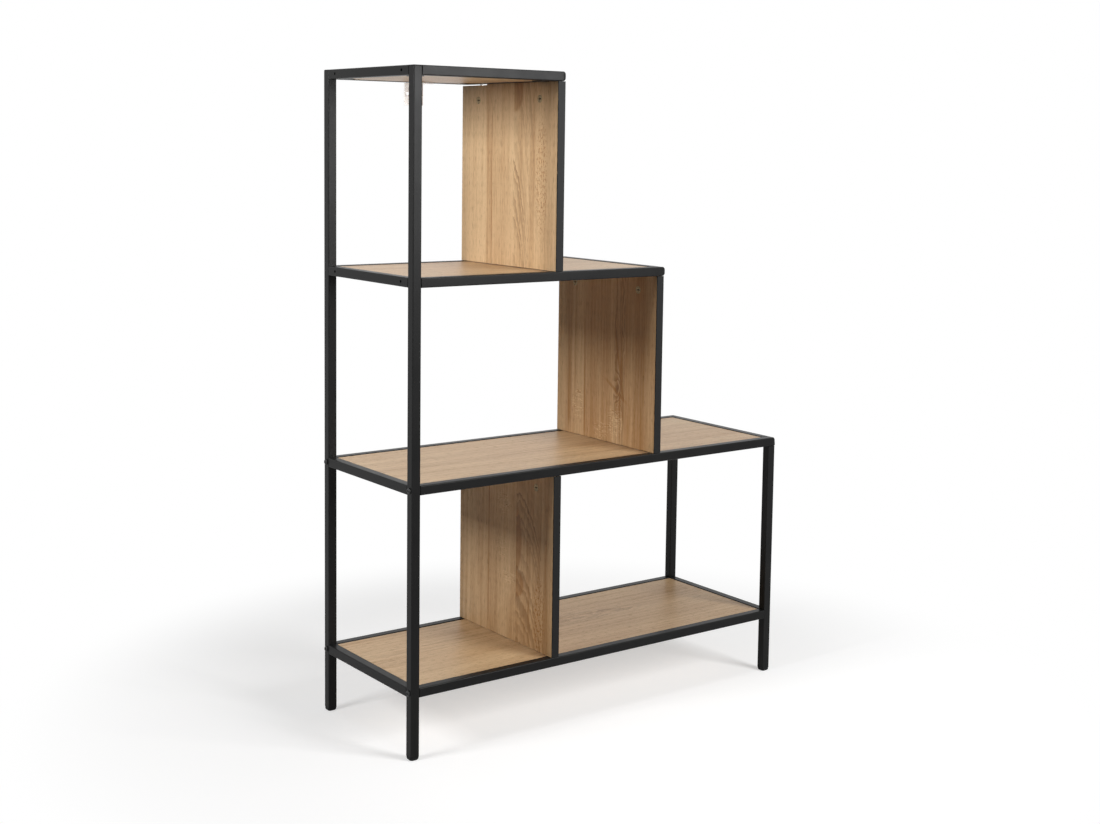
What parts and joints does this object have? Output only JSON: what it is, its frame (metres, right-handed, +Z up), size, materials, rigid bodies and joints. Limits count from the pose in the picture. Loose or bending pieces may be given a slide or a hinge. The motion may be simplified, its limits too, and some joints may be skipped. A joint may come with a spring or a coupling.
{
  "type": "staircase bookshelf",
  "caption": "Free-standing staircase bookshelf: black square-tube steel frame, stepped oak-look boards, upright divider panels on turning cam fittings, wall bracket.",
  "frame": {"origin": "middle of the object's bounding box at the floor", "axes": "+Z up, +Y from the front to the rear (the wall side), +X to the right as seen from the front, towards the low steps"},
  "size_m": [0.9036, 0.3308, 1.26],
  "materials": {
    "powder_coated_steel": "satin black powder coat with a fine grain",
    "oak_melamine": "matt oak-look melamine on particle board, with open pore marks",
    "black_plastic": "moulded black plastic, slightly glossy",
    "black_bolt": "black zinc-plated steel",
    "zinc_plated_steel": "bright zinc plating",
    "cast_zinc_cam": "die-cast zinc, dull nickel colour"
  },
  "bodies": {
    "frame": {"front_left_post": "powder_coated_steel", "front_left_foot": "black_plastic", "front_right_post": "powder_coated_steel", "front_right_foot": "black_plastic", "front_post_cap": "black_plastic", "front_rail_cap_2": "black_plastic", "front_rail_cap_3": "black_plastic", "front_rail_cap_4": "black_plastic", "front_rail_1": "powder_coated_steel", "front_rail_2": "powder_coated_steel", "front_rail_3": "powder_coated_steel", "front_rail_4": "powder_coated_steel", "frame_bolt_1_front": "black_bolt", "frame_bolt_2_front": "black_bolt", "rear_left_post": "powder_coated_steel", "rear_left_foot": "black_plastic", "rear_right_post": "powder_coated_steel", "rear_right_foot": "black_plastic", "rear_post_cap": "black_plastic", "rear_rail_cap_2": "black_plastic", "rear_rail_cap_3": "black_plastic", "rear_rail_cap_4": "black_plastic", "rear_rail_1": "powder_coated_steel", "rear_rail_2": "powder_coated_steel", "rear_rail_3": "powder_coated_steel", "rear_rail_4": "powder_coated_steel", "frame_bolt_1_rear": "black_bolt", "frame_bolt_2_rear": "black_bolt", "left_rail_1": "powder_coated_steel", "left_rail_2": "powder_coated_steel", "left_rail_3": "powder_coated_steel", "left_rail_4": "powder_coated_steel", "right_rail_1": "powder_coated_steel", "right_rail_2": "powder_coated_steel", "right_rail_3": "powder_coated_steel", "right_rail_4": "powder_coated_steel", "shelf_board_1": "oak_melamine", "shelf_board_2": "oak_melamine", "shelf_board_3": "oak_melamine", "shelf_board_4": "oak_melamine", "divider_panel_1": "oak_melamine", "divider_edging_1": "black_plastic", "cam_bolt_1_front": "zinc_plated_steel", "cam_bolt_1_rear": "zinc_plated_steel", "divider_panel_2": "oak_melamine", "divider_edging_2": "black_plastic", "cam_bolt_2_front": "zinc_plated_steel", "cam_bolt_2_rear": "zinc_plated_steel", "divider_panel_3": "oak_melamine", "divider_edging_3": "black_plastic", "cam_bolt_3_front": "zinc_plated_steel", "cam_bolt_3_rear": "zinc_plated_steel", "wall_bracket": "zinc_plated_steel", "bracket_screw": "zinc_plated_steel"},
    "cam_1_front": {"cam_1_front": "cast_zinc_cam"},
    "cam_1_rear": {"cam_1_rear": "cast_zinc_cam"},
    "cam_2_front": {"cam_2_front": "cast_zinc_cam"},
    "cam_2_rear": {"cam_2_rear": "cast_zinc_cam"},
    "cam_3_front": {"cam_3_front": "cast_zinc_cam"},
    "cam_3_rear": {"cam_3_rear": "cast_zinc_cam"}
  },
  "joints": [
    {"name": "cam_1_front_turn", "type": "hinge", "parent": "frame", "child": "cam_1_front", "pos_m": [-0.13155, -0.105, 0.4598], "axis": [-1, 0, 0], "range_deg": [0, 180]},
    {"name": "cam_1_rear_turn", "type": "hinge", "parent": "frame", "child": "cam_1_rear", "pos_m": [-0.13155, 0.105, 0.4598], "axis": [-1, 0, 0], "range_deg": [0, 180]},
    {"name": "cam_2_front_turn", "type": "hinge", "parent": "frame", "child": "cam_2_front", "pos_m": [0.11615, -0.105, 0.8348], "axis": [-1, 0, 0], "range_deg": [0, 180]},
    {"name": "cam_2_rear_turn", "type": "hinge", "parent": "frame", "child": "cam_2_rear", "pos_m": [0.11615, 0.105, 0.8348], "axis": [-1, 0, 0], "range_deg": [0, 180]},
    {"name": "cam_3_front_turn", "type": "hinge", "parent": "frame", "child": "cam_3_front", "pos_m": [-0.13355, -0.105, 1.2098], "axis": [-1, 0, 0], "range_deg": [0, 180]},
    {"name": "cam_3_rear_turn", "type": "hinge", "parent": "frame", "child": "cam_3_rear", "pos_m": [-0.13355, 0.105, 1.2098], "axis": [-1, 0, 0], "range_deg": [0, 180]}
  ]
}
